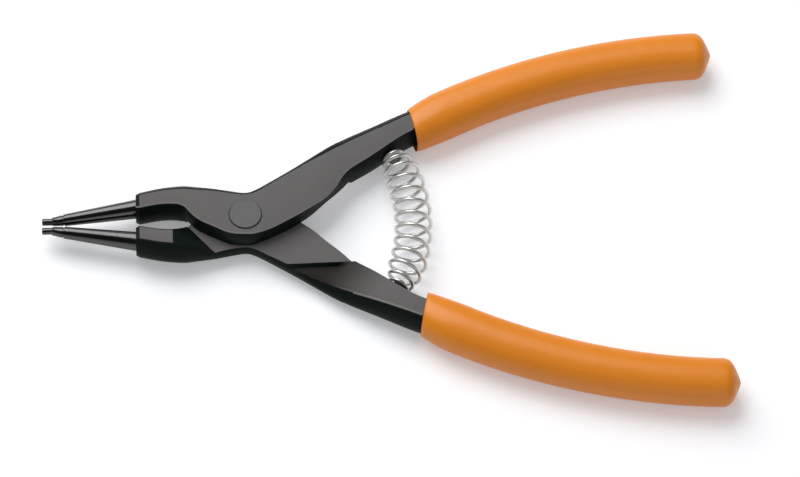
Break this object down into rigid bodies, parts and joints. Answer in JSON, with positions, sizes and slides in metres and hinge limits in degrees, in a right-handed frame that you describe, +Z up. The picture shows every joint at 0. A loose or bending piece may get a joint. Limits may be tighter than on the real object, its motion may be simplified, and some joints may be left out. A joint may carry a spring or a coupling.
{
  "type": "circlip pliers",
  "caption": "Straight-nosed pliers for outside circlips: two lapped forgings on a rivet, conical noses with round tips, a bent return spring and moulded sleeve grips.",
  "frame": {"origin": "on the joint's axis, at the flat underside of the joint", "axes": "+X from the noses to the handles along the middle line at rest, +Y towards the upper handle of the picture, +Z up along the joint's axis"},
  "size_m": [0.1752, 0.1092, 0.0114],
  "materials": {
    "forged_steel": "blackened forging with satin ground flats",
    "nose_steel": "blackened and polished",
    "rivet_steel": "blackened, satin",
    "spring_wire": "bright zinc",
    "grip_plastic": "glossy orange soft plastic"
  },
  "bodies": {
    "lower_side": {"lower_half": "forged_steel", "lower_nose": "nose_steel", "pivot_rivet": "rivet_steel", "return_spring": "spring_wire", "lower_spring_peg": "rivet_steel", "lower_grip": "grip_plastic"},
    "upper_side": {"upper_half": "forged_steel", "upper_nose": "nose_steel", "upper_spring_peg": "rivet_steel", "upper_grip": "grip_plastic"}
  },
  "joints": [
    {"name": "squeeze", "type": "hinge", "parent": "lower_side", "child": "upper_side", "pos_m": [0, 0, 0.0045], "axis": [0, 0, -1], "range_deg": [0, 30], "stiffness_Nm_per_rad": 1.4, "springref_deg": -8.59, "deforming": ["return_spring"]}
  ]
}
